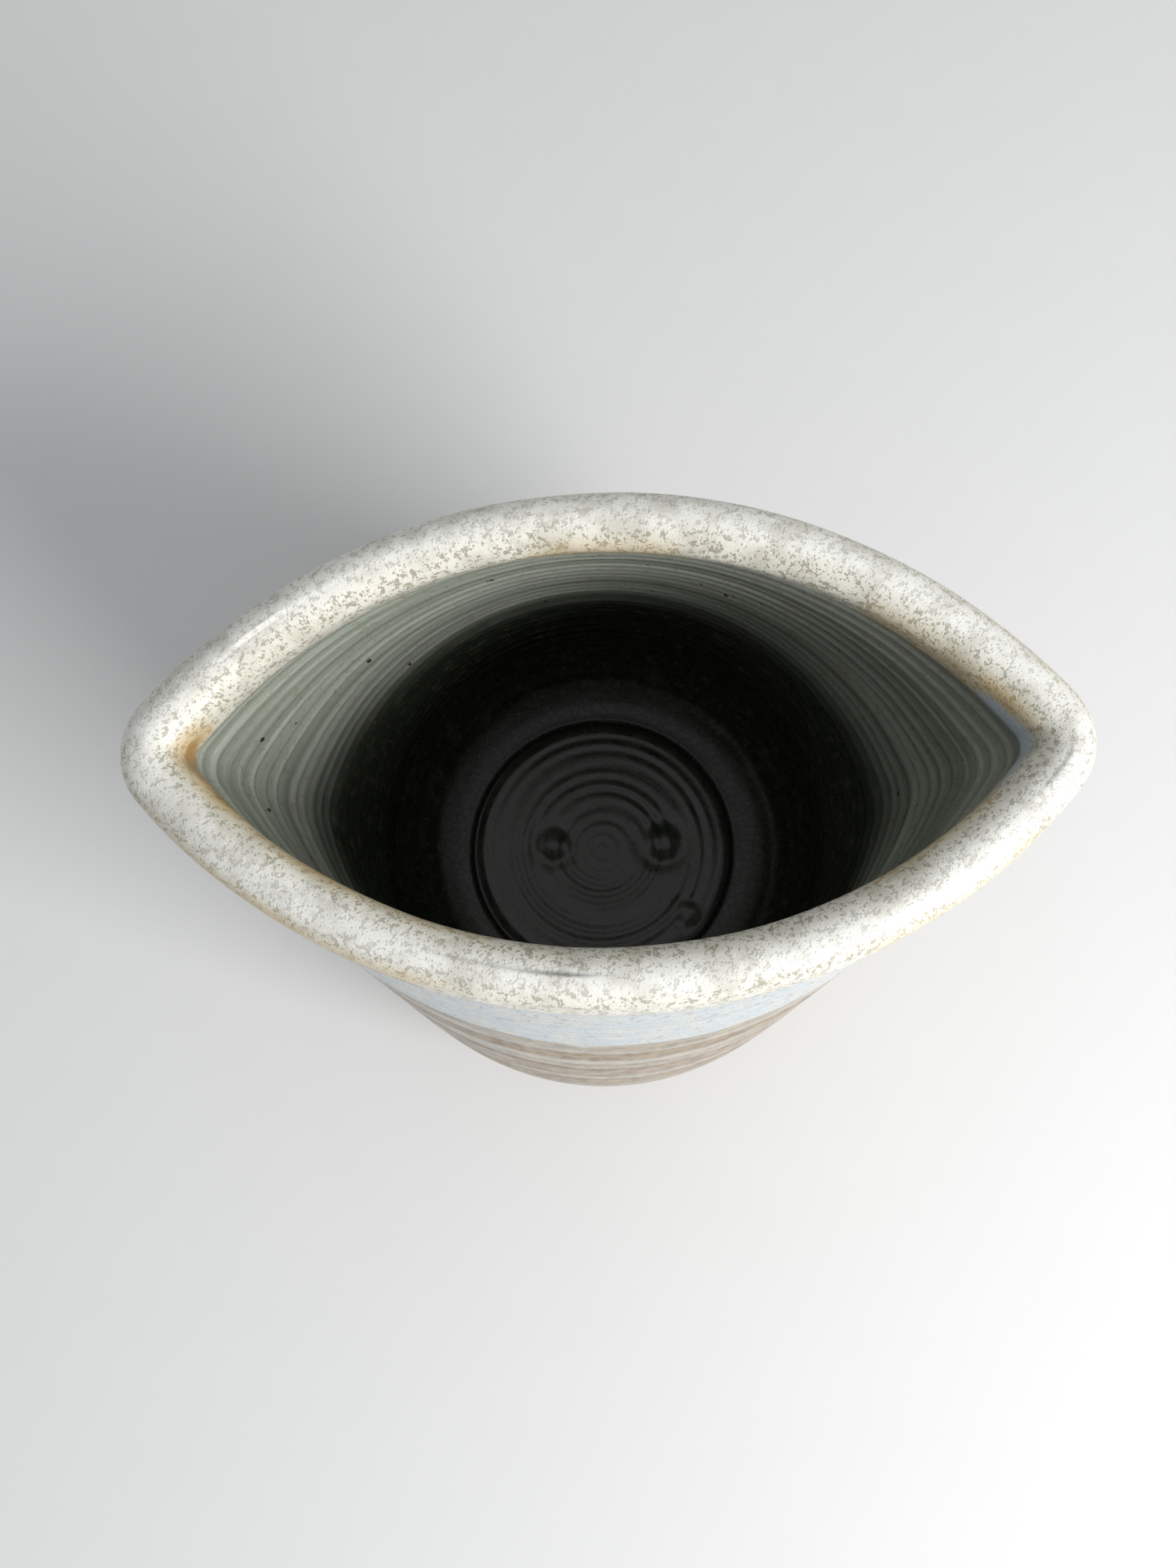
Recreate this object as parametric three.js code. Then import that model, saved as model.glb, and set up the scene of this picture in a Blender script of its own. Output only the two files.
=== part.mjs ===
// A wheel-thrown ceramic vase whose upper half is squeezed into an almond-shaped mouth with a thick rolled lip.
// Millimetres, +Z up. The origin is the centre of the foot, on the surface that the vase stands on,
// and +X runs along the mouth's long axis.
import * as THREE from "three";

// The mouth, measured to the middle of the lip's thickness
const mouthHalfLength = 70.2;
const mouthHalfWidth = 35.4;
const tipRadius = 7;
const tipDrop = 2.5; // the lip is this much lower at its two tips
// The clay
const height = 138;
const lipThickness = 9.6;
const lipDepth = 11; // from the top of the lip down to its seam with the wall
const wallThickness = 6.4;
const squeezeStart = 37; // the body is round up to this height
const squeezePower = 1.35;
const floorRadius = 32;
const floorThickness = 5.5;
const innerCornerHeight = 22;
const outerCornerHeight = 25;
const footHeight = 5;
const footWidth = 13;
const footOverlap = 3; // how far the foot ring reaches under the floor
const footStep = 1.5; // the wall's underside stands this far outside the foot ring
const footBevel = 1;
const slipGap = 0.3; // the line of slip between two joined pieces of clay
// Fineness
const tipSteps = 10;
const flankSteps = 32;
const cornerSteps = 7;
const wallSteps = 12;
const lipSteps = 8;
const lipSideSteps = 4;
const roundSteps = 64;

// Sizes that follow from the ones above
const tipCentre = mouthHalfLength - tipRadius;
const flankRadius = (tipCentre ** 2 + mouthHalfWidth ** 2 - tipRadius ** 2) / (2 * (mouthHalfWidth - tipRadius));
const flankTurn = 2 * Math.atan2(tipCentre, flankRadius - mouthHalfWidth);
const tipTurn = Math.PI - flankTurn;
const perimeter = 2 * (tipTurn * tipRadius + flankTurn * flankRadius);
const bodyRadius = perimeter / (2 * Math.PI); // clay neither stretches nor shrinks when it is squeezed
const lipMiddle = height - lipThickness / 2;
const lipSeam = height - lipDepth;
const floorBase = footHeight + slipGap;
const floorTop = floorBase + floorThickness;
const footInnerRadius = floorRadius - footOverlap;
const footOuterRadius = footInnerRadius + footWidth;
const wallFootRadius = footOuterRadius + footStep;

// Stations round the mouth, from the middle of the right tip, each with its outward normal
// and the angle that the same bit of clay had on the round body
function mouthStations() {
  const arcs = [
    { x: tipCentre, y: 0, radius: tipRadius, from: -tipTurn / 2, turn: tipTurn, steps: tipSteps },
    { x: 0, y: mouthHalfWidth - flankRadius, radius: flankRadius, from: tipTurn / 2, turn: flankTurn, steps: flankSteps },
    { x: -tipCentre, y: 0, radius: tipRadius, from: Math.PI - tipTurn / 2, turn: tipTurn, steps: tipSteps },
    { x: 0, y: flankRadius - mouthHalfWidth, radius: flankRadius, from: Math.PI + tipTurn / 2, turn: flankTurn, steps: flankSteps },
  ];
  const stations = [];
  let travelled = -tipTurn * tipRadius / 2;
  for (const arc of arcs) {
    for (let i = 0; i < arc.steps; i++) {
      const share = i / arc.steps;
      const angle = arc.from + arc.turn * share;
      stations.push({
        x: arc.x + arc.radius * Math.cos(angle),
        y: arc.y + arc.radius * Math.sin(angle),
        normalX: Math.cos(angle),
        normalY: Math.sin(angle),
        round: (travelled + arc.radius * arc.turn * share) / bodyRadius,
      });
    }
    travelled += arc.radius * arc.turn;
  }
  return stations;
}

const stations = mouthStations();

// 0 where the body is round, 1 where it has the mouth's full almond shape
function squeezeAt(z) {
  const share = Math.min(1, Math.max(0, (z - squeezeStart) / (lipMiddle - squeezeStart)));
  return share ** squeezePower;
}

// A point of the clay at one station, this far outside the middle of its thickness
function clayPoint(station, offset, z) {
  const squeeze = squeezeAt(z);
  const roundX = Math.cos(station.round);
  const roundY = Math.sin(station.round);
  const normalX = THREE.MathUtils.lerp(roundX, station.normalX, squeeze);
  const normalY = THREE.MathUtils.lerp(roundY, station.normalY, squeeze);
  const length = Math.hypot(normalX, normalY);
  return [
    THREE.MathUtils.lerp(bodyRadius * roundX, station.x, squeeze) + offset * normalX / length,
    THREE.MathUtils.lerp(bodyRadius * roundY, station.y, squeeze) + offset * normalY / length,
    z - tipDrop * squeeze * (station.x / mouthHalfLength) ** 2,
  ];
}

// Sweeps a closed profile of [offset, height] points round the vase: up the outside, over and down the inside
function shellFrom(profile) {
  const positions = stations.flatMap((station) => profile.flatMap(([offset, z]) => clayPoint(station, offset, z)));
  const indices = [];
  for (let i = 0; i < stations.length; i++) {
    const here = i * profile.length;
    const next = ((i + 1) % stations.length) * profile.length;
    for (let j = 0; j < profile.length; j++) {
      const above = (j + 1) % profile.length;
      indices.push(here + j, next + j, next + above);
      indices.push(here + j, next + above, here + above);
    }
  }
  const geometry = new THREE.BufferGeometry();
  geometry.setAttribute("position", new THREE.Float32BufferAttribute(positions, 3));
  geometry.setIndex(indices);
  geometry.computeVertexNormals();
  return geometry;
}

// A quarter of an ellipse in [offset, height], level where it starts and upright where it ends
function cornerCurve(fromRadius, toRadius, base, rise) {
  const points = [];
  for (let i = 0; i < cornerSteps; i++) {
    const angle = (i / cornerSteps) * Math.PI / 2;
    const radius = fromRadius + (toRadius - fromRadius) * Math.sin(angle);
    points.push([radius - bodyRadius, base + rise * (1 - Math.cos(angle))]);
  }
  return points;
}

function straightRun(offset, from, to) {
  const points = [];
  for (let i = 0; i <= wallSteps; i++) {
    points.push([offset, THREE.MathUtils.lerp(from, to, i / wallSteps)]);
  }
  return points;
}

function thrownWall() {
  const half = wallThickness / 2;
  const top = lipSeam - slipGap;
  const outside = [
    ...cornerCurve(wallFootRadius, bodyRadius + half, floorBase, outerCornerHeight),
    ...straightRun(half, floorBase + outerCornerHeight, top),
  ];
  const inside = [
    ...cornerCurve(floorRadius + slipGap, bodyRadius - half, floorTop, innerCornerHeight),
    ...straightRun(-half, floorTop + innerCornerHeight, top),
  ];
  return shellFrom([...outside, ...inside.reverse(), [floorRadius + slipGap - bodyRadius, floorBase]]);
}

function rolledLip() {
  const side = [];
  for (let i = 0; i < lipSideSteps; i++) {
    const share = i / lipSideSteps;
    const swell = Math.sin(share * Math.PI / 2);
    side.push([THREE.MathUtils.lerp(wallThickness, lipThickness, swell) / 2, THREE.MathUtils.lerp(lipSeam, lipMiddle, share)]);
  }
  const crown = [];
  for (let i = 0; i <= lipSteps; i++) {
    const angle = (i / lipSteps) * Math.PI;
    crown.push([lipThickness / 2 * Math.cos(angle), lipMiddle + lipThickness / 2 * Math.sin(angle)]);
  }
  const inside = side.map(([offset, z]) => [-offset, z]).reverse();
  return shellFrom([...side, ...crown, ...inside]);
}

// Turns a closed profile of [radius, height] points round the upright axis
function turned(profile) {
  const points = profile.map(([radius, z]) => new THREE.Vector2(radius, z));
  return new THREE.LatheGeometry(points, roundSteps).rotateX(Math.PI / 2);
}

function floorDisc() {
  return turned([
    [0, floorBase],
    [floorRadius, floorBase],
    [floorRadius, floorTop],
    [0, floorTop],
  ]);
}

function footRing() {
  return turned([
    [footInnerRadius + footBevel, 0],
    [footOuterRadius - footBevel, 0],
    [footOuterRadius, footBevel],
    [footOuterRadius, footHeight],
    [footInnerRadius, footHeight],
    [footInnerRadius, footBevel],
    [footInnerRadius + footBevel, 0],
  ]);
}

function piece(name, geometry, color, roughness) {
  const mesh = new THREE.Mesh(geometry, new THREE.MeshStandardMaterial({ color, roughness }));
  mesh.name = name;
  return mesh;
}

const vase = new THREE.Group();
vase.name = "ceramic_vase";
vase.add(piece("thrown_wall", thrownWall(), 0xb9b09a, 0.35));
vase.add(piece("rolled_lip", rolledLip(), 0xebe7dc, 0.4));
vase.add(piece("floor_disc", floorDisc(), 0x2f3a2c, 0.3));
vase.add(piece("foot_ring", footRing(), 0xa98c69, 0.85));

export default vase;
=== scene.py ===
import math
import bpy
import numpy as np
from mathutils import Matrix, Vector


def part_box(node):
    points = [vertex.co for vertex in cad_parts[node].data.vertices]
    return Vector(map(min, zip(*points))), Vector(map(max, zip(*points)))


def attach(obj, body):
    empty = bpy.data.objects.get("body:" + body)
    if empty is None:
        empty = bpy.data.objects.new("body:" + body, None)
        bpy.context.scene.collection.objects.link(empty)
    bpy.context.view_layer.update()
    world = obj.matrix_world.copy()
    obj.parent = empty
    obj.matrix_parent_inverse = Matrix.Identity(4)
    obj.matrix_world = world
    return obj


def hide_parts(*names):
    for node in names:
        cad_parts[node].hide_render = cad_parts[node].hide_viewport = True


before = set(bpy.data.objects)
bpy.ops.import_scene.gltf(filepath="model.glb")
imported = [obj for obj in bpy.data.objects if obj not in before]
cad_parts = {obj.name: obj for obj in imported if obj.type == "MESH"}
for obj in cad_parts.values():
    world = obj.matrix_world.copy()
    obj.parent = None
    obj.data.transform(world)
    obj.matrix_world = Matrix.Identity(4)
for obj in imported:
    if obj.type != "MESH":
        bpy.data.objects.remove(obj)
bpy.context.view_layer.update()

# A squeezed, wheel-thrown vase seen from above: wall, rolled lip, floor disc, foot ring, and grit in
# the glaze. Metres, +Z up, +X along the mouth.

# What all the clay shares

clay = {
    "mouthHalfLength": 0.0702,  # to the middle of the lip
    "mouthHalfWidth": 0.0354,
    "tipRadius": 0.007,
    "tipDrop": 0.0025,
    "lipThickness": 0.0096,
    "lipDepth": 0.011,
    "wallThickness": 0.0064,
    "squeezeStart": 0.037,
    "squeezePower": 1.35,
    "seam": 0.00005,  # the line between two joined pieces
}

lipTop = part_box("rolled_lip")[1].z
lipMiddle = lipTop - clay["lipThickness"] / 2
lipSeam = lipTop - clay["lipDepth"]
floorLow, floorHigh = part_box("floor_disc")
floorRadius = floorHigh.x
footLow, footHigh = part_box("foot_ring")
footRadius = footHigh.x

tipCentre = clay["mouthHalfLength"] - clay["tipRadius"]
flankRadius = (tipCentre ** 2 + clay["mouthHalfWidth"] ** 2 - clay["tipRadius"] ** 2) / (
    2 * (clay["mouthHalfWidth"] - clay["tipRadius"]))
flankTurn = 2 * math.atan2(tipCentre, flankRadius - clay["mouthHalfWidth"])
tipTurn = math.pi - flankTurn
perimeter = 2 * (tipTurn * clay["tipRadius"] + flankTurn * flankRadius)
bodyRadius = perimeter / (2 * math.pi)


def mouthAt(turn):  # the mouth's line and its outward normal, where the round clay stood at this turn
    r = clay["tipRadius"]
    drop = clay["mouthHalfWidth"] - flankRadius
    travelled = turn * bodyRadius
    ends = np.cumsum([tipTurn * r / 2, flankTurn * flankRadius, tipTurn * r, flankTurn * flankRadius])
    arc = np.searchsorted(ends, travelled, side="right")
    radius = np.array([r, flankRadius, r, flankRadius, r])[arc]
    centreX = np.array([tipCentre, 0, -tipCentre, 0, tipCentre])[arc]
    centreY = np.array([0, drop, 0, -drop, 0])[arc]
    starts = np.concatenate([[0], ends])[arc]
    half = tipTurn / 2
    facing = np.array([0, half, math.pi - half, math.pi + half, 2 * math.pi - half])[arc]
    angle = facing + (travelled - starts) / radius
    return (centreX + radius * np.cos(angle), centreY + radius * np.sin(angle), np.cos(angle), np.sin(angle))


def squeezeAt(height):  # 0 where the body is round, 1 where it has the mouth's full shape
    share = np.clip((height - clay["squeezeStart"]) / (lipMiddle - clay["squeezeStart"]), 0, 1)
    return share ** clay["squeezePower"]


def clayPoints(turn, offset, height):
    mouthX, mouthY, mouthNormalX, mouthNormalY = mouthAt(turn)
    squeeze = squeezeAt(height)
    roundX, roundY = np.cos(turn), np.sin(turn)
    normalX = roundX + (mouthNormalX - roundX) * squeeze
    normalY = roundY + (mouthNormalY - roundY) * squeeze
    length = np.hypot(normalX, normalY)
    return np.stack([
        bodyRadius * roundX + (mouthX - bodyRadius * roundX) * squeeze + offset * normalX / length,
        bodyRadius * roundY + (mouthY - bodyRadius * roundY) * squeeze + offset * normalY / length,
        height - clay["tipDrop"] * squeeze * (mouthX / clay["mouthHalfLength"]) ** 2,
    ], axis=-1)


def meshFrom(name, points, faces, values):  # values are the point attributes that the tools and glazes read
    mesh = bpy.data.meshes.new(name)
    mesh.from_pydata(points.tolist(), [], faces.tolist())
    for key, data in values.items():
        kind = "FLOAT_VECTOR" if data.ndim == 2 else "FLOAT"
        attribute = mesh.attributes.new(key, kind, "POINT")
        attribute.data.foreach_set("vector" if data.ndim == 2 else "value", data.astype(np.float32).ravel())
    mesh.shade_smooth()
    obj = bpy.data.objects.new(name, mesh)
    bpy.context.scene.collection.objects.link(obj)
    return obj


def sweptShell(name, profile, columns, wander=None):
    # profile rows are offset, height, across (-1 outside to 1 inside) and how much the rings show there
    turns = np.arange(columns) / columns * 2 * math.pi
    turn = np.repeat(turns, len(profile))
    offset, height, across, rings = np.tile(np.array(profile), (columns, 1)).T
    if wander:
        offset, height = wander(turn, offset, height, across)
    points = clayPoints(turn, offset, height)
    here = (np.arange(columns) * len(profile))[:, None]
    beyond = np.roll(here, -1, axis=0)
    row = np.arange(len(profile))[None, :]
    above = np.roll(row, -1, axis=1)
    faces = np.stack([here + row, beyond + row, beyond + above, here + above], axis=-1).reshape(-1, 4)
    radius = bodyRadius + offset
    thrown = np.stack([radius * np.cos(turn), radius * np.sin(turn), height], axis=-1)
    values = {"across": across, "ringShare": rings, "turnShare": turn / (2 * math.pi), "thrown": thrown}
    return meshFrom(name, points, faces, values)


def quarterCurve(fromRadius, toRadius, base, rise, steps, across, rings):
    rows = []
    for i in range(steps):
        angle = i / steps * math.pi / 2
        radius = fromRadius + (toRadius - fromRadius) * math.sin(angle)
        share = rings * math.sin(angle)
        rows.append([radius - bodyRadius, base + rise * (1 - math.cos(angle)), across, share])
    return rows


# Nodes, for glazes and for shapes

def put(tree, kind, inputs=None, **settings):
    made = tree.nodes.new(kind)
    for key, value in settings.items():
        setattr(made, key, value)
    for key, value in (inputs or {}).items():
        if isinstance(value, bpy.types.NodeSocket):
            tree.links.new(value, made.inputs[key])
        else:
            made.inputs[key].default_value = value
    return made


def maths(tree, operation, first, second=0.0):
    return put(tree, "ShaderNodeMath", {0: first, 1: second}, operation=operation).outputs[0]


def between(tree, value, low, high, start=0.0, end=1.0):  # a soft step from start to end
    return put(tree, "ShaderNodeMapRange", {0: value, 1: low, 2: high, 3: start, 4: end},
               interpolation_type="SMOOTHSTEP").outputs[0]


def mixed(tree, share, first, second):
    return put(tree, "ShaderNodeMix", {0: share, 6: first, 7: second}, data_type="RGBA").outputs[2]


def noise(tree, vector, scale, detail=3.0, roughness=0.55, distortion=0.0):
    return put(tree, "ShaderNodeTexNoise", {
        "Vector": vector, "Scale": scale, "Detail": detail, "Roughness": roughness, "Distortion": distortion,
    }).outputs[0]


def stretched(tree, vector, scale):
    return put(tree, "ShaderNodeVectorMath", {0: vector, 1: scale}, operation="MULTIPLY").outputs[0]


def spot(tree, place, centre, radius, soft, ragged, patches):  # a ragged-edged patch round one point
    away = put(tree, "ShaderNodeVectorMath", {0: place, 1: centre}, operation="DISTANCE").outputs["Value"]
    frayed = maths(tree, "ADD", away, maths(tree, "MULTIPLY", maths(tree, "SUBTRACT", patches, 0.5), ragged))
    return between(tree, frayed, radius + soft, radius)


def colour(red, green, blue):
    return (red, green, blue, 1.0)


def startMaterial(name):
    material = bpy.data.materials.new(name)
    material.use_nodes = True
    material.node_tree.nodes.clear()
    return material, material.node_tree


def attribute(tree, name, output):
    return put(tree, "ShaderNodeAttribute", attribute_name=name).outputs[output]


def endMaterial(tree, baseColour, roughness, height, depth, coat):
    bump = put(tree, "ShaderNodeBump", {"Height": height, "Distance": depth, "Strength": 1.0})
    shader = put(tree, "ShaderNodeBsdfPrincipled", {
        "Base Color": baseColour, "Roughness": roughness, "Normal": bump.outputs[0],
        "Coat Weight": coat["weight"], "Coat Roughness": coat["roughness"],
    })
    output = put(tree, "ShaderNodeOutputMaterial")
    tree.links.new(shader.outputs[0], output.inputs[0])


def speckles(tree, place, scale, low, high):  # fine iron specks, 0 to 1
    cells = put(tree, "ShaderNodeTexVoronoi", {"Vector": place, "Scale": scale}, feature="F1")
    grain = maths(tree, "MULTIPLY", cells.outputs["Distance"], 0.35)
    spread = noise(tree, place, scale * 0.4, 2.0, 0.6)
    return between(tree, maths(tree, "SUBTRACT", spread, grain), low, high)


def fromAxis(tree, place):
    x, y, z = put(tree, "ShaderNodeSeparateXYZ", {0: place}).outputs
    squares = maths(tree, "ADD", maths(tree, "MULTIPLY", x, x), maths(tree, "MULTIPLY", y, y))
    return maths(tree, "SQRT", squares)


# Glaze of the wall

wallGlazeLook = {
    "creamOutside": colour(0.58, 0.60, 0.57),
    "blueOutside": colour(0.50, 0.56, 0.60),
    "tanOutside": colour(0.36, 0.27, 0.165),
    "brownOutside": colour(0.20, 0.135, 0.075),
    "paleInside": colour(0.47, 0.49, 0.43),
    "greyInside": colour(0.25, 0.275, 0.225),
    # greenInside: dark glaze of the lower inside, which also carries painted shade
    "greenInside": colour(0.026, 0.034, 0.021),
    "bareClay": colour(0.33, 0.215, 0.13),
    "blueEdgeHeight": 0.101,  # the blue-white glaze ends here on the outside
    "grooveHeight": 0.075,
    "greenHeightFar": 0.069,  # the dark inside ends here, and higher towards the tips: partly dark glaze, partly painted shade below where the window light reaches
    "greenHeightRise": 0.014,
    "greenReach": 0.062,  # how far along X it has risen by that much
    "glazeLine": 0.009,  # bare clay below this
    "fineRingPitch": 0.0011,
    "crackleScale": 620.0,  # cells to the metre
    "bumpDepth": 0.00022,
    "coat": {"weight": 0.25, "roughness": 0.2},
}


def makeWallGlaze():
    look = wallGlazeLook
    material, tree = startMaterial("wallGlaze")
    place = put(tree, "ShaderNodeTexCoord").outputs["Object"]
    x, y, z = put(tree, "ShaderNodeSeparateXYZ", {0: place}).outputs
    across = attribute(tree, "across", "Fac")
    thrown = attribute(tree, "thrown", "Vector")
    crest = attribute(tree, "crest", "Fac")
    inside = between(tree, across, -0.1, 0.1)
    patches = noise(tree, place, 45.0, 5.0, 0.6)
    mottle = noise(tree, place, 260.0, 5.0, 0.65)
    fine = noise(tree, place, 1600.0, 3.0, 0.6)
    # lines that run round the pot, from noise squashed in height
    lines = noise(tree, stretched(tree, thrown, (9.0, 9.0, 620.0)), 1.0, 4.0, 0.7)
    broad = noise(tree, stretched(tree, thrown, (5.0, 5.0, 190.0)), 1.0, 3.0, 0.6)

    wavyZ = maths(tree, "ADD", z, maths(tree, "MULTIPLY", maths(tree, "SUBTRACT", patches, 0.5), 0.010))
    blue = between(tree, wavyZ, look["blueEdgeHeight"] - 0.0012, look["blueEdgeHeight"] + 0.0008)
    outside = mixed(tree, between(tree, mottle, 0.35, 0.68), look["tanOutside"], look["brownOutside"])
    outside = mixed(tree, between(tree, broad, 0.45, 0.62, 0.0, 0.55), outside, look["creamOutside"])
    white = mixed(tree, between(tree, mottle, 0.4, 0.62), look["creamOutside"], look["blueOutside"])
    outside = mixed(tree, blue, outside, white)
    # the dark line at the groove is painted shade; the groove itself is not in the shape
    groove = maths(tree, "ABSOLUTE", maths(tree, "SUBTRACT", wavyZ, look["grooveHeight"]))
    outside = mixed(tree, between(tree, groove, 0.0011, 0.0003, 0.0, 0.7), outside, look["brownOutside"])
    outside = mixed(tree, between(tree, lines, 0.56, 0.72, 0.0, 0.45), outside, look["brownOutside"])

    # the dark green lower inside is partly glaze and partly painted shade; its line follows where the window
    # light stops on the inner wall
    towardsTip = maths(tree, "POWER", maths(tree, "DIVIDE", x, look["greenReach"]), 2.0)
    rise = maths(tree, "MULTIPLY", towardsTip, look["greenHeightRise"])
    greenHeight = maths(tree, "ADD", rise, look["greenHeightFar"])
    above = maths(tree, "SUBTRACT", wavyZ, greenHeight)
    within = mixed(tree, between(tree, broad, 0.38, 0.64), look["paleInside"], look["greyInside"])
    within = mixed(tree, between(tree, crest, 0.15, 0.75, 0.0, 0.55), within, look["greyInside"])
    within = mixed(tree, between(tree, above, 0.012, -0.014), within, look["greenInside"])
    within = mixed(tree, between(tree, lines, 0.58, 0.75, 0.0, 0.5), within, look["greenInside"])
    within = mixed(tree, between(tree, mottle, 0.5, 0.75, 0.0, 0.25), within, look["greyInside"])

    base = mixed(tree, inside, outside, within)
    bareShare = maths(tree, "MULTIPLY", between(tree, wavyZ, look["glazeLine"] + 0.0006, look["glazeLine"]),
                      maths(tree, "SUBTRACT", 1.0, inside))
    base = mixed(tree, bareShare, base, look["bareClay"])
    specks = speckles(tree, place, 1500.0, 0.40, 0.52)
    base = mixed(tree, maths(tree, "MULTIPLY", specks, 0.35), base, look["brownOutside"])

    cells = put(tree, "ShaderNodeTexVoronoi", {"Vector": place, "Scale": look["crackleScale"]},
                feature="DISTANCE_TO_EDGE")
    crackle = between(tree, cells.outputs["Distance"], 0.0, 0.06)
    fineRings = put(tree, "ShaderNodeTexWave", {
        "Vector": thrown, "Scale": 1 / look["fineRingPitch"] / (2 * math.pi),
        "Distortion": 2.5, "Detail": 2.0,
    }, bands_direction="Z").outputs["Fac"]
    height = maths(tree, "MULTIPLY", fineRings, 0.25)
    height = maths(tree, "ADD", height, maths(tree, "MULTIPLY", mottle, 0.45))
    height = maths(tree, "ADD", height, maths(tree, "MULTIPLY", crackle, 0.10))
    height = maths(tree, "ADD", height, maths(tree, "MULTIPLY", fine, 0.2))
    rough = between(tree, mottle, 0.3, 0.7, 0.26, 0.42)
    rough = maths(tree, "ADD", rough, maths(tree, "MULTIPLY", bareShare, 0.5))
    endMaterial(tree, base, rough, height, look["bumpDepth"], look["coat"])
    return material


# Glaze of the lip

lipGlazeLook = {
    "cream": colour(0.80, 0.78, 0.68),
    # white: the cream glaze lightened into a painted highlight along the crown
    "white": colour(0.90, 0.89, 0.83),
    "speck": colour(0.30, 0.27, 0.19),
    "gold": colour(0.55, 0.37, 0.13),
    "rust": colour(0.24, 0.115, 0.035),
    "violetGrey": colour(0.30, 0.27, 0.28),
    "bluePool": colour(0.56, 0.64, 0.70),
    # golden stains: centre, radius, strength
    "stains": [
        ((-0.0510, -0.0140, 0.130), 0.012, 0.75),
        ((-0.0630, -0.0050, 0.131), 0.006, 0.9),
        ((0.0000, 0.0310, 0.131), 0.009, 0.55),
        ((0.0520, 0.0130, 0.130), 0.012, 0.5),
        ((0.0650, 0.0080, 0.134), 0.004, 0.9),
        ((-0.0420, -0.0290, 0.131), 0.012, 0.7),
        ((0.0540, -0.0250, 0.131), 0.014, 0.6),
        ((-0.0240, -0.0315, 0.136), 0.003, 0.6),
    ],
    "poolCentre": (0.0620, 0.0015, 0.127),
    "poolRadius": 0.006,
    "bumpDepth": 0.00018,
    "coat": {"weight": 0.3, "roughness": 0.28},
}


def makeLipGlaze():
    look = lipGlazeLook
    material, tree = startMaterial("lipGlaze")
    place = put(tree, "ShaderNodeTexCoord").outputs["Object"]
    across = attribute(tree, "across", "Fac")
    thrown = attribute(tree, "thrown", "Vector")
    patches = noise(tree, place, 160.0, 5.0, 0.65)
    broad = noise(tree, place, 40.0, 3.0, 0.5)
    fine = noise(tree, place, 2600.0, 2.0, 0.6)
    # the whiter band along the crown is a painted highlight, the broad reflection of the sky above the lip;
    # specks show less there too
    crown = between(tree, maths(tree, "ABSOLUTE", maths(tree, "ADD", across, 0.05)), 0.42, 0.12)
    base = mixed(tree, crown, look["cream"], look["white"])
    worn = between(tree, patches, 0.42, 0.66, 0.0, 0.35)
    base = mixed(tree, worn, base, look["speck"])
    specks = speckles(tree, place, 2300.0, 0.33, 0.46)
    fewer = maths(tree, "SUBTRACT", 0.78, maths(tree, "MULTIPLY", crown, 0.42))
    base = mixed(tree, maths(tree, "MULTIPLY", specks, fewer), base, look["speck"])
    # stains follow the edges, so the crown stays clean
    edge = between(tree, maths(tree, "ABSOLUTE", across), 0.28, 0.62)
    for centre, radius, strength in look["stains"]:
        stain = spot(tree, place, centre, radius, 0.006, 0.010, patches)
        stain = maths(tree, "MULTIPLY", maths(tree, "MULTIPLY", stain, edge), strength)
        base = mixed(tree, stain, base, look["gold"])
        core = between(tree, maths(tree, "MULTIPLY", stain, patches), 0.28, 0.42, 0.0, 0.6)
        base = mixed(tree, core, base, look["rust"])
    # faint violet-grey dust on the outer edge
    outer = between(tree, across, -0.35, -0.75)
    dust = maths(tree, "MULTIPLY", outer, speckles(tree, place, 1300.0, 0.37, 0.47))
    base = mixed(tree, maths(tree, "MULTIPLY", dust, 0.6), base, look["violetGrey"])
    # streaks along the outer edge
    streaks = noise(tree, stretched(tree, thrown, (14.0, 14.0, 900.0)), 1.0, 3.0, 0.6)
    streak = maths(tree, "MULTIPLY", between(tree, streaks, 0.56, 0.7), between(tree, across, -0.6, -0.85))
    base = mixed(tree, maths(tree, "MULTIPLY", streak, 0.5), base, look["gold"])
    pool = spot(tree, place, look["poolCentre"], look["poolRadius"], 0.003, 0.004, patches)
    pool = maths(tree, "MULTIPLY", pool, between(tree, across, 0.45, 0.7))
    base = mixed(tree, pool, base, look["bluePool"])
    # painted shade low on the inner side of the roll, in the crease where it folds against the inner wall
    low = between(tree, across, 0.80, 0.98, 0.0, 0.6)
    base = mixed(tree, low, base, look["speck"])

    height = maths(tree, "ADD", maths(tree, "MULTIPLY", patches, 0.5), maths(tree, "MULTIPLY", fine, 0.35))
    height = maths(tree, "ADD", height, maths(tree, "MULTIPLY", broad, 0.4))
    height = maths(tree, "SUBTRACT", height, maths(tree, "MULTIPLY", specks, 0.18))
    rough = between(tree, patches, 0.3, 0.7, 0.30, 0.5)
    endMaterial(tree, base, rough, height, look["bumpDepth"], look["coat"])
    return material


# Glaze of the floor

floorGlazeLook = {
    "green": colour(0.036, 0.044, 0.028),
    "lightGreen": colour(0.085, 0.095, 0.062),
    # dark: the specks' colour, and also the painted shade round the floor's edge
    "dark": colour(0.008, 0.011, 0.006),
    "cornerShade": (0.0022, 0.0004),  # painted shade where the floor meets the wall: how far in from the edge it starts, and where it is full
    "ringPitch": 0.0026,
    "bumpDepth": 0.0003,
    "coat": {"weight": 0.5, "roughness": 0.12},
}


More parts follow.
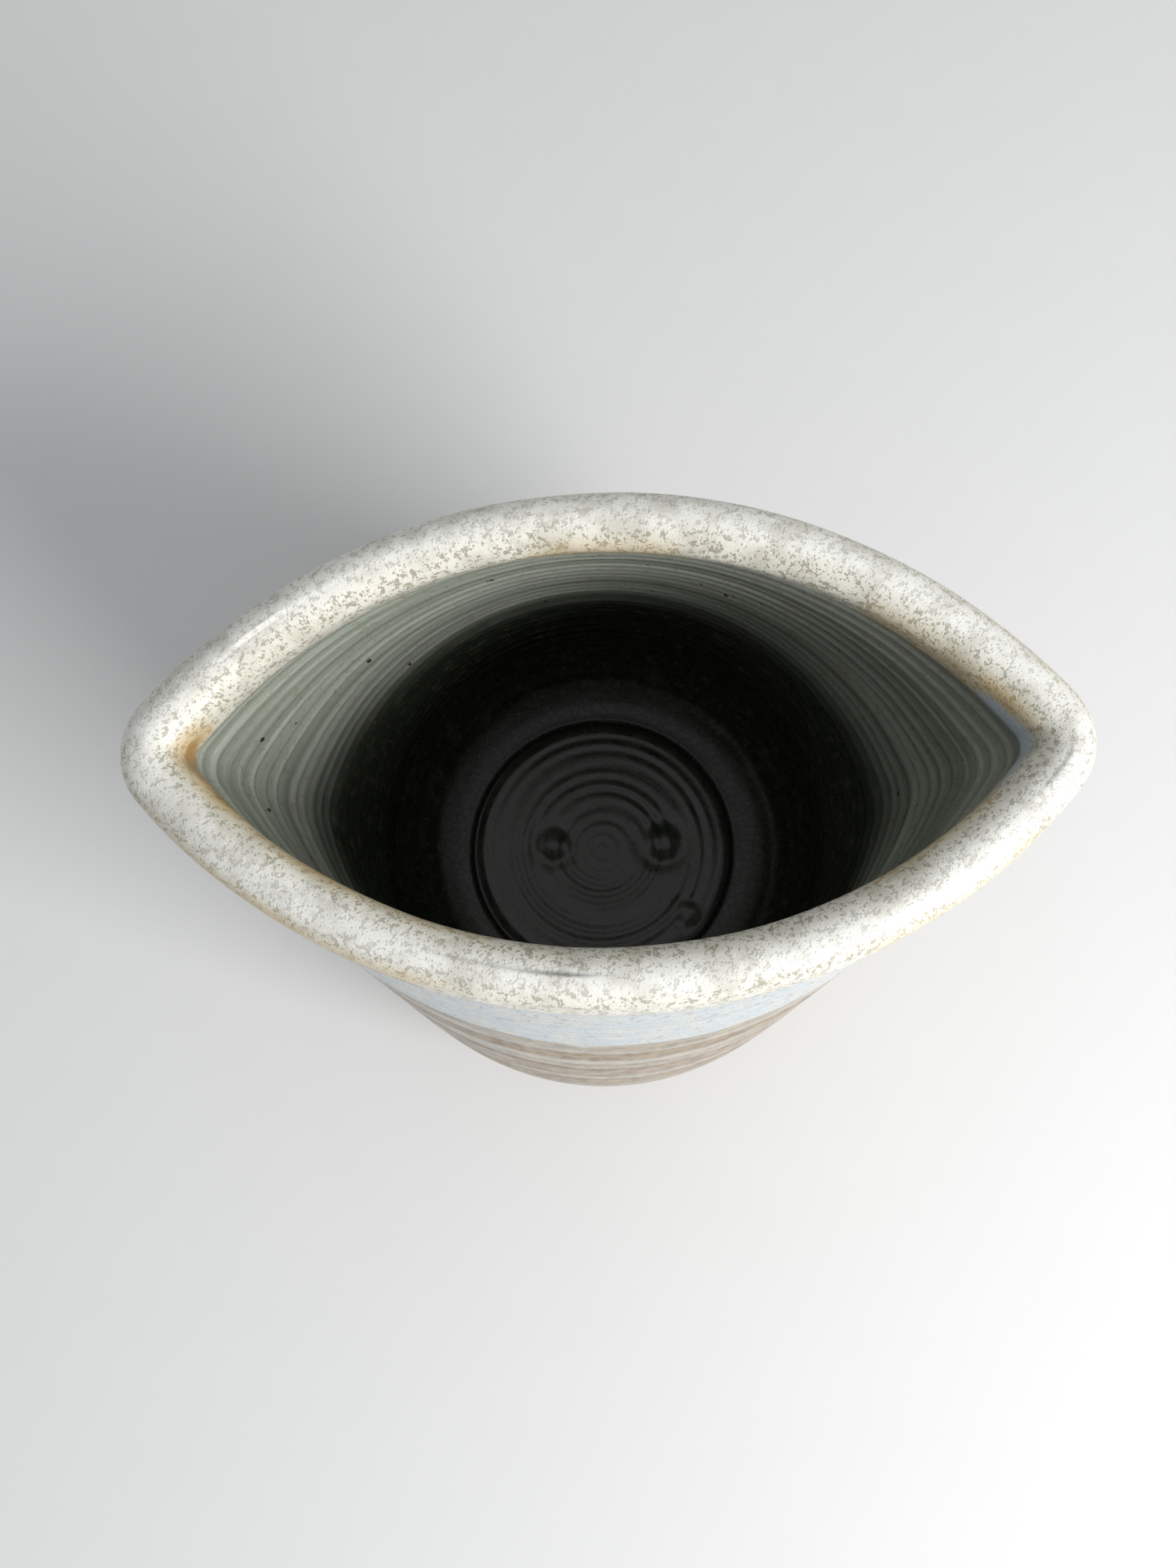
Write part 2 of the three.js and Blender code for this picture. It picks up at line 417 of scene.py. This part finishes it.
def makeFloorGlaze():
    look = floorGlazeLook
    material, tree = startMaterial("floorGlaze")
    place = put(tree, "ShaderNodeTexCoord").outputs["Object"]
    mottle = noise(tree, place, 190.0, 5.0, 0.62)
    fine = noise(tree, place, 1300.0, 3.0, 0.6)
    away = fromAxis(tree, place)
    base = mixed(tree, between(tree, mottle, 0.35, 0.65), look["green"], look["lightGreen"])
    edgeStart, edgeFull = look["cornerShade"]
    # painted shade in the corner round the floor's edge
    edge = between(tree, away, floorRadius - edgeStart, floorRadius - edgeFull, 0.0, 0.85)
    base = mixed(tree, edge, base, look["dark"])
    specks = speckles(tree, place, 1100.0, 0.42, 0.52)
    base = mixed(tree, maths(tree, "MULTIPLY", specks, 0.6), base, look["dark"])
    rings = maths(tree, "SINE", maths(tree, "MULTIPLY", away, 2 * math.pi / look["ringPitch"]))
    height = maths(tree, "ADD", maths(tree, "MULTIPLY", rings, 0.14), maths(tree, "MULTIPLY", mottle, 0.6))
    height = maths(tree, "ADD", height, maths(tree, "MULTIPLY", fine, 0.12))
    rough = between(tree, mottle, 0.3, 0.7, 0.2, 0.38)
    endMaterial(tree, base, rough, height, look["bumpDepth"], look["coat"])
    return material


# Bare clay of the foot, and the grains in the glaze

bareClayLook = {
    "clay": colour(0.36, 0.235, 0.14),
    "lightClay": colour(0.50, 0.36, 0.24),
    "grog": colour(0.10, 0.06, 0.035),
    "linePitch": 0.0009,
    "bumpDepth": 0.00018,
    "coat": {"weight": 0.0, "roughness": 0.5},
}


def makeBareClay():
    look = bareClayLook
    material, tree = startMaterial("bareClay")
    place = put(tree, "ShaderNodeTexCoord").outputs["Object"]
    away = fromAxis(tree, place)
    mottle = noise(tree, place, 210.0, 5.0, 0.65)
    fine = noise(tree, place, 1900.0, 3.0, 0.7)
    wobble = maths(tree, "MULTIPLY", mottle, 5.0)
    turns = maths(tree, "ADD", maths(tree, "MULTIPLY", away, 2 * math.pi / look["linePitch"]), wobble)
    lines = maths(tree, "SINE", turns)
    base = mixed(tree, between(tree, mottle, 0.32, 0.68), look["clay"], look["lightClay"])
    base = mixed(tree, between(tree, lines, 0.3, 1.0, 0.0, 0.35), base, look["clay"])
    specks = speckles(tree, place, 1200.0, 0.40, 0.50)
    base = mixed(tree, maths(tree, "MULTIPLY", specks, 0.8), base, look["grog"])
    height = maths(tree, "ADD", maths(tree, "MULTIPLY", lines, 0.25), maths(tree, "MULTIPLY", fine, 0.8))
    rough = between(tree, fine, 0.3, 0.7, 0.78, 0.95)
    endMaterial(tree, base, rough, height, look["bumpDepth"], look["coat"])
    return material


gritGlazeLook = {
    "dark": colour(0.018, 0.014, 0.010),
    "brown": colour(0.10, 0.065, 0.035),
    "bumpDepth": 0.00012,
    "coat": {"weight": 0.4, "roughness": 0.15},
}


def makeGritGlaze():
    look = gritGlazeLook
    material, tree = startMaterial("gritGlaze")
    place = put(tree, "ShaderNodeTexCoord").outputs["Object"]
    mottle = noise(tree, place, 900.0, 4.0, 0.6)
    base = mixed(tree, between(tree, mottle, 0.35, 0.7), look["dark"], look["brown"])
    rough = between(tree, mottle, 0.3, 0.7, 0.22, 0.45)
    endMaterial(tree, base, rough, mottle, look["bumpDepth"], look["coat"])
    return material


wallGlaze = makeWallGlaze()
lipGlaze = makeLipGlaze()
floorGlaze = makeFloorGlaze()
bareClay = makeBareClay()
gritGlaze = makeGritGlaze()
print("glazes mixed")


# Geometry Nodes for the throwing rings and the grit

def startTree(name, inputs):
    tree = bpy.data.node_groups.new(name, "GeometryNodeTree")
    tree.interface.new_socket("Geometry", in_out="INPUT", socket_type="NodeSocketGeometry")
    for label, kind in inputs:
        tree.interface.new_socket(label, in_out="INPUT", socket_type=kind)
    tree.interface.new_socket("Geometry", in_out="OUTPUT", socket_type="NodeSocketGeometry")
    return tree, put(tree, "NodeGroupInput").outputs


def namedValue(tree, name, kind="FLOAT"):
    return put(tree, "GeometryNodeInputNamedAttribute", {"Name": name}, data_type=kind).outputs[0]


def endTree(tree, geometry, material):
    real = put(tree, "GeometryNodeRealizeInstances", {0: geometry}).outputs[0]
    painted = put(tree, "GeometryNodeSetMaterial", {"Geometry": real, "Material": material}).outputs[0]
    tree.links.new(painted, put(tree, "NodeGroupOutput").inputs[0])


def makeRingTree():
    # a slowly climbing spiral of finger rings, each a little deeper or shallower than the next
    tree, given = startTree("throwingRings", [
        ("Pitch", "NodeSocketFloat"), ("Depth", "NodeSocketFloat"), ("Wobble", "NodeSocketFloat"),
        ("Seed", "NodeSocketFloat"), ("Material", "NodeSocketMaterial"),
    ])
    thrown = namedValue(tree, "thrown", "FLOAT_VECTOR")
    height = put(tree, "ShaderNodeSeparateXYZ", {0: thrown}).outputs[2]
    turns = maths(tree, "ADD", maths(tree, "DIVIDE", height, given["Pitch"]), namedValue(tree, "turnShare"))
    sway = put(tree, "ShaderNodeTexNoise", {
        "Vector": thrown, "W": given["Seed"], "Scale": 22.0, "Detail": 2.0,
    }, noise_dimensions="4D").outputs[0]
    drift = maths(tree, "MULTIPLY", maths(tree, "SUBTRACT", sway, 0.5), given["Wobble"])
    phase = maths(tree, "ADD", turns, drift)
    wave = maths(tree, "SINE", maths(tree, "MULTIPLY", phase, 2 * math.pi))
    low = maths(tree, "MULTIPLY", maths(tree, "SUBTRACT", 1.0, wave), 0.5)  # 1 at the bottom of a ring
    level = stretched(tree, thrown, (4.0, 4.0, 150.0))
    uneven = put(tree, "ShaderNodeTexNoise", {
        "Vector": level, "W": given["Seed"], "Scale": 1.0, "Detail": 1.0,
    }, noise_dimensions="4D").outputs[0]
    unevenShare = between(tree, uneven, 0.3, 0.7, 0.25, 1.0)
    strength = maths(tree, "MULTIPLY", unevenShare, namedValue(tree, "ringShare"))
    dent = maths(tree, "MULTIPLY", maths(tree, "MULTIPLY", low, strength), given["Depth"])
    normal = put(tree, "GeometryNodeInputNormal").outputs[0]
    shift = put(tree, "ShaderNodeVectorMath", {0: normal, "Scale": maths(tree, "MULTIPLY", dent, -1.0)},
                operation="SCALE").outputs[0]
    marked = put(tree, "GeometryNodeStoreNamedAttribute", {
        "Geometry": given["Geometry"], "Name": "crest", "Value": low,
    }, data_type="FLOAT", domain="POINT").outputs[0]
    moved = put(tree, "GeometryNodeSetPosition", {"Geometry": marked, "Offset": shift}).outputs[0]
    endTree(tree, moved, given["Material"])
    return tree


def makeGritTree():
    # grains of iron and sand, half sunk in the glaze
    tree, given = startTree("glazeGrit", [
        ("Density", "NodeSocketFloat"), ("Smallest", "NodeSocketFloat"), ("Largest", "NodeSocketFloat"),
        ("Seed", "NodeSocketInt"), ("Material", "NodeSocketMaterial"),
    ])
    density = maths(tree, "MULTIPLY", given["Density"], namedValue(tree, "gritShare"))
    spread = put(tree, "GeometryNodeDistributePointsOnFaces", {
        "Mesh": given["Geometry"], "Density": density, "Seed": given["Seed"],
    })
    grain = put(tree, "GeometryNodeMeshIcoSphere", {"Radius": 1.0, "Subdivisions": 2}).outputs[0]
    spherePlace = put(tree, "GeometryNodeInputPosition").outputs[0]
    lumpy = put(tree, "ShaderNodeTexNoise", {"Vector": spherePlace, "Scale": 1.3})
    lump = put(tree, "ShaderNodeVectorMath", {
        0: put(tree, "GeometryNodeInputNormal").outputs[0],
        "Scale": maths(tree, "MULTIPLY", maths(tree, "SUBTRACT", lumpy.outputs[0], 0.5), 0.9),
    }, operation="SCALE").outputs[0]
    grain = put(tree, "GeometryNodeSetPosition", {"Geometry": grain, "Offset": lump}).outputs[0]
    size = put(tree, "FunctionNodeRandomValue", {
        2: given["Smallest"], 3: given["Largest"], "Seed": given["Seed"],
    }, data_type="FLOAT").outputs[1]
    flat = put(tree, "ShaderNodeCombineXYZ", {
        0: size, 1: maths(tree, "MULTIPLY", size, 1.25), 2: maths(tree, "MULTIPLY", size, 0.55),
    }).outputs[0]
    placed = put(tree, "GeometryNodeInstanceOnPoints", {
        "Points": spread.outputs["Points"], "Rotation": spread.outputs["Rotation"],
        "Instance": grain, "Scale": flat,
    }).outputs[0]
    smooth = put(tree, "GeometryNodeSetShadeSmooth", {
        "Geometry": put(tree, "GeometryNodeRealizeInstances", {0: placed}).outputs[0],
    }).outputs[0]
    endTree(tree, smooth, given["Material"])
    return tree


def grown(obj, tree, values):  # runs the tree on the object and keeps the result as a plain mesh
    modifier = obj.modifiers.new(tree.name, "NODES")
    modifier.node_group = tree
    for item in tree.interface.items_tree:
        if item.item_type == "SOCKET" and item.in_out == "INPUT" and item.name in values:
            modifier[item.identifier] = values[item.name]
    bpy.context.view_layer.update()
    result = obj.evaluated_get(bpy.context.evaluated_depsgraph_get())
    mesh = bpy.data.meshes.new_from_object(result)
    mesh.name = obj.name
    obj.modifiers.remove(modifier)
    obj.data = mesh
    return obj


ringTree = makeRingTree()
gritTree = makeGritTree()


# The wall

wallLook = {
    "columns": 300,
    "outerRows": 92,
    "innerRows": 138,
    "cornerRows": 24,
    "footStep": 0.0015,
    "outerCornerHeight": 0.025,
    "innerCornerHeight": 0.022,
    "ringPitch": 0.0042,
    "ringDepth": 0.00075,
    "ringWobble": 0.9,
    "outerRingShare": 0.42,
    "ringSeed": 4.0,
    "ringFade": 0.004,  # the rings die away over this height below the lip
}


def makeWall():
    look = wallLook
    half = clay["wallThickness"] / 2
    base = floorLow.z
    top = lipSeam - clay["seam"]
    inner = floorRadius + clay["seam"]

    def upright(offset, low, high, rows, across, rings):
        made = []
        for i in range(rows + 1):
            height = low + (high - low) * i / rows
            fade = min(1.0, (high - height) / look["ringFade"])
            made.append([offset, height, across, rings * fade])
        return made

    outerTop = base + look["outerCornerHeight"]
    outside = quarterCurve(footRadius + look["footStep"], bodyRadius + half, base, look["outerCornerHeight"],
                           look["cornerRows"], -1, look["outerRingShare"])
    outside += upright(half, outerTop, top, look["outerRows"], -1, look["outerRingShare"])
    innerTop = floorHigh.z + look["innerCornerHeight"]
    inside = quarterCurve(inner, bodyRadius - half, floorHigh.z, look["innerCornerHeight"],
                          look["cornerRows"], 1, 1)
    inside += upright(-half, innerTop, top, look["innerRows"], 1, 1)
    under = [[inner - bodyRadius, base, -1, 0]]
    wall = sweptShell("vaseWall", outside + inside[::-1] + under, look["columns"])
    return grown(wall, ringTree, {
        "Pitch": look["ringPitch"], "Depth": look["ringDepth"], "Wobble": look["ringWobble"],
        "Seed": look["ringSeed"], "Material": wallGlaze,
    })


wall = makeWall()
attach(wall, "root")
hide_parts("thrown_wall")
print("wall thrown")


# The lip

lipLook = {
    "columns": 720,
    "sideRows": 12,
    "crownRows": 26,
    "thin": 0.00035,  # how far the finger-formed roll swings inwards from its full size
    "low": 0.0007,
}


def makeLip():
    look = lipLook
    full = clay["lipThickness"] / 2
    bare = clay["wallThickness"] / 2
    side = []
    for i in range(look["sideRows"]):
        share = i / look["sideRows"]
        bulge = math.sqrt(1 - (1 - share) ** 2)
        offset = bare + (full - bare) * bulge
        side.append([offset, lipSeam + (lipMiddle - lipSeam) * share, 1 - 0.5 * share, 0])
    crown = []
    for i in range(look["crownRows"] + 1):
        angle = i / look["crownRows"] * math.pi
        crown.append([full * math.cos(angle), lipMiddle + full * math.sin(angle), -0.5 * math.cos(angle), 0])
    outside = [[offset, height, -across, 0] for offset, height, across, rings in side]
    inside = [[-offset, height, across, 0] for offset, height, across, rings in side][::-1]

    def fingers(turn, offset, height, across):  # slow swings in the roll's thickness and height
        swing = np.sin(3 * turn + 0.7) + np.sin(7 * turn + 2.1) * 0.6 + np.sin(13 * turn + 4.0) * 0.4
        swing = swing / 4 + 0.5
        dip = np.sin(2 * turn + 1.9) + np.sin(5 * turn + 0.4) * 0.7 + np.sin(11 * turn + 3.1) * 0.35
        dip = dip / 4.1 + 0.5
        rolled = 1 - np.abs(across) ** 3
        risen = np.clip((height - lipSeam) / (lipTop - lipSeam), 0, 1)
        return offset - np.sign(offset) * swing * look["thin"] * rolled, height - dip * look["low"] * risen

    lip = sweptShell("rolledLip", outside + crown + inside, look["columns"], fingers)
    lip.data.materials.append(lipGlaze)
    return lip


lip = makeLip()
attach(lip, "root")
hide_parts("rolled_lip")
print("lip rolled")


# The floor

floorLook = {
    "spokes": 160,
    "rows": 44,
    "dish": 0.0008,  # the middle lies this much lower
    "edgeGroove": 0.0007,
    "edgeWidth": 0.0016,
    "ringHeight": 0.0001,
    "ringPitch": 0.0034,
    # lumps left by the fingers: x, y, radius, height
    "lumps": [
        (-0.0120, 0.0014, 0.0030, 0.0007),
        (0.0150, 0.0016, 0.0034, 0.0008),
        (0.0208, -0.0160, 0.0022, 0.0005),
    ],
}


def makeFloor():
    look = floorLook
    outer = floorRadius
    shares = (np.arange(look["rows"]) + 1) / look["rows"]
    radii = outer * shares
    turns = np.arange(look["spokes"]) / look["spokes"] * 2 * math.pi
    radius = np.repeat(radii, look["spokes"])
    turn = np.tile(turns, look["rows"])
    x, y = radius * np.cos(turn), radius * np.sin(turn)
    top = floorHigh.z - look["dish"] * (1 - (radius / outer) ** 2)
    for lumpX, lumpY, lumpRadius, lumpHeight in look["lumps"]:
        away = np.hypot(x - lumpX, y - lumpY) / lumpRadius
        ring = np.exp(-away ** 2) - 0.45 * np.exp(-(away - 1.5) ** 2 * 3)
        top += lumpHeight * ring
    spiral = (radius / look["ringPitch"] + turn / (2 * math.pi)) * 2 * math.pi
    rings = look["ringHeight"] * np.cos(spiral) * np.clip(radius / 0.006 - 0.5, 0, 1)
    groove = look["edgeGroove"] * np.exp(-((outer - radius) / look["edgeWidth"]) ** 2)
    top = np.minimum(top + rings - groove, floorHigh.z)
    points = [[0, 0, floorHigh.z - look["dish"]]] + np.stack([x, y, top], axis=-1).tolist()
    rim = len(points)
    points += [[outer * math.cos(t), outer * math.sin(t), floorLow.z] for t in turns]
    points.append([0, 0, floorLow.z])
    faces = []
    spokes = look["spokes"]
    for s in range(spokes):
        n = (s + 1) % spokes
        faces.append([0, 1 + s, 1 + n])
        for row in range(look["rows"] - 1):
            a, b = 1 + row * spokes, 1 + (row + 1) * spokes
            faces.append([a + s, b + s, b + n, a + n])
        last = 1 + (look["rows"] - 1) * spokes
        faces.append([last + s, rim + s, rim + n, last + n])
        faces.append([rim + n, rim + s, rim + spokes])
    mesh = bpy.data.meshes.new("floorDisc")
    mesh.from_pydata(points, [], faces)
    mesh.shade_smooth()
    mesh.materials.append(floorGlaze)
    obj = bpy.data.objects.new("floorDisc", mesh)
    bpy.context.scene.collection.objects.link(obj)
    return obj


floorDisc = makeFloor()
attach(floorDisc, "root")
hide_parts("floor_disc")
print("floor pressed")


# The foot ring

footLook = {
    "innerRadius": 0.029,
    "bevel": 0.0011,
    "bevelRows": 5,
    "spokes": 180,
    "wheelLines": 0.00012,
    "baseSteps": 14,
    "waist": 0.0003,
    "waistSteps": 6,
}


def makeFoot():
    look = footLook
    low, high = footLow.z, footHigh.z - clay["seam"]
    inner, outer, bevel = look["innerRadius"], footRadius, look["bevel"]
    profile = []
    for i in range(look["bevelRows"] + 1):  # inner bottom edge, then along the base to the outer one
        angle = math.pi + i / look["bevelRows"] * math.pi / 2
        profile.append([inner + bevel + bevel * math.cos(angle), low + bevel + bevel * math.sin(angle)])
    for i in range(1, look["baseSteps"]):
        share = i / look["baseSteps"]
        dent = look["wheelLines"] * (0.5 - 0.5 * math.cos(share * look["baseSteps"] * math.pi))
        profile.append([inner + bevel + (outer - inner - 2 * bevel) * share, low + dent])
    for i in range(look["bevelRows"] + 1):
        angle = 1.5 * math.pi + i / look["bevelRows"] * math.pi / 2
        profile.append([outer - bevel + bevel * math.cos(angle), low + bevel + bevel * math.sin(angle)])
    for i in range(1, look["waistSteps"]):  # a shallow waist up the outside
        share = i / look["waistSteps"]
        radius = outer - look["waist"] * math.sin(share * math.pi)
        profile.append([radius, low + bevel + (high - low - bevel) * share])
    profile += [[outer, high], [inner, high]]
    spokes = look["spokes"]
    turn = np.repeat(np.arange(spokes) / spokes * 2 * math.pi, len(profile))
    radius, height = np.tile(np.array(profile), (spokes, 1)).T
    points = np.stack([radius * np.cos(turn), radius * np.sin(turn), height], axis=-1)
    here = (np.arange(spokes) * len(profile))[:, None]
    beyond = np.roll(here, -1, axis=0)
    row = np.arange(len(profile))[None, :]
    above = np.roll(row, -1, axis=1)
    faces = np.stack([here + row, beyond + row, beyond + above, here + above], axis=-1).reshape(-1, 4)
    obj = meshFrom("footRing", points, faces, {})
    obj.data.materials.append(bareClay)
    return obj


foot = makeFoot()
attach(foot, "root")
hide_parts("foot_ring")
print("foot turned")


# Grit in the glaze

gritLook = {
    "density": 3200.0,  # grains to the square metre
    "smallest": 0.00016,
    "largest": 0.00052,
    "seed": 11,
    "lowest": 0.02,  # none below this height, and the full number this much further up
    "lowFade": 0.03,
    "lipMargin": 0.006,  # none this close under the lip
    "lipFade": 0.01,
}


def makeGrit():
    look = gritLook
    mesh = wall.data.copy()
    bed = bpy.data.objects.new("glazeGrit", mesh)
    bpy.context.scene.collection.objects.link(bed)
    count = len(mesh.vertices)
    across = np.zeros(count, np.float32)
    mesh.attributes["across"].data.foreach_get("value", across)
    place = np.zeros(count * 3, np.float32)
    mesh.vertices.foreach_get("co", place)
    height = place.reshape(-1, 3)[:, 2]
    fromBelow = np.clip((height - look["lowest"]) / look["lowFade"], 0, 1)
    fromLip = np.clip((lipSeam - look["lipMargin"] - height) / look["lipFade"], 0, 1)
    share = (across > 0) * fromBelow * fromLip
    grit = mesh.attributes.new("gritShare", "FLOAT", "POINT")
    grit.data.foreach_set("value", share.astype(np.float32))
    return grown(bed, gritTree, {
        "Density": look["density"], "Smallest": look["smallest"], "Largest": look["largest"],
        "Seed": look["seed"], "Material": gritGlaze,
    })


grit = makeGrit()
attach(grit, "root")
print("grit scattered")


# Floor, backdrop, light and camera

stageLook = {
    "floorSize": 1.6,
    "backdropHeight": 1.2,
    "pale": colour(0.80, 0.80, 0.79),
    "grain": colour(0.7, 0.7, 0.7),
    "windowPlace": (0.55, -0.42, 0.52),
    "windowSize": 0.45,
    "windowPower": 7.5,
    "windowAim": (0, 0, 0.09),
    "room": colour(0.93, 0.96, 1.0),
    "worldStrength": 0.42,
}


def makeStage():
    look = stageLook
    material, tree = startMaterial("palePaper")
    place = put(tree, "ShaderNodeTexCoord").outputs["Object"]
    grain = noise(tree, place, 60.0, 3.0, 0.5)
    base = mixed(tree, between(tree, grain, 0.3, 0.7, 0.0, 0.05), look["pale"], look["grain"])
    shader = put(tree, "ShaderNodeBsdfDiffuse", {"Color": base})
    tree.links.new(shader.outputs[0], put(tree, "ShaderNodeOutputMaterial").inputs[0])
    half = look["floorSize"] / 2
    tall = look["backdropHeight"]
    for name, corners in [
        ("stageFloor", [(-half, -half, 0), (half, -half, 0), (half, half, 0), (-half, half, 0)]),
        ("stageBack", [(-half, half, 0), (half, half, 0), (half, half, tall), (-half, half, tall)]),
    ]:
        mesh = bpy.data.meshes.new(name)
        mesh.from_pydata(corners, [], [(0, 1, 2, 3)])
        mesh.materials.append(material)
        obj = bpy.data.objects.new(name, mesh)
        bpy.context.scene.collection.objects.link(obj)


def makeLight():
    look = stageLook
    window = bpy.data.lights.new("window", "AREA")
    window.shape = "SQUARE"
    window.size = look["windowSize"]
    window.energy = look["windowPower"]
    obj = bpy.data.objects.new("window", window)
    obj.location = look["windowPlace"]
    obj.rotation_euler = (Vector(look["windowAim"]) - obj.location).to_track_quat("-Z", "Y").to_euler()
    bpy.context.scene.collection.objects.link(obj)
    world = bpy.data.worlds.new("room")
    world.use_nodes = True
    background = world.node_tree.nodes["Background"]
    background.inputs["Color"].default_value = look["room"]
    background.inputs["Strength"].default_value = look["worldStrength"]
    bpy.context.scene.world = world


cameraLook = {
    "place": (-0.00326, -0.04106, 0.32143),
    "tilt": 10.478,  # degrees off straight down
    "roll": -0.853,
    "focalPixels": 1618.0,  # in the photo's own pixels
    "longSide": 2000.0,
    "sensor": 36.0,
}


def makeCamera():
    look = cameraLook
    data = bpy.data.cameras.new("phone")
    data.sensor_width = look["sensor"]
    data.lens = look["focalPixels"] * look["sensor"] / look["longSide"]
    data.clip_start = 0.01
    obj = bpy.data.objects.new("phone", data)
    tilt = Matrix.Rotation(math.radians(look["tilt"]), 4, "X")
    roll = Matrix.Rotation(math.radians(look["roll"]), 4, "Z")
    obj.matrix_world = Matrix.Translation(look["place"]) @ (tilt @ roll)
    bpy.context.scene.collection.objects.link(obj)
    bpy.context.scene.camera = obj


makeStage()
makeLight()
makeCamera()
bpy.context.scene.view_settings.view_transform = "Standard"
print("lit and framed")
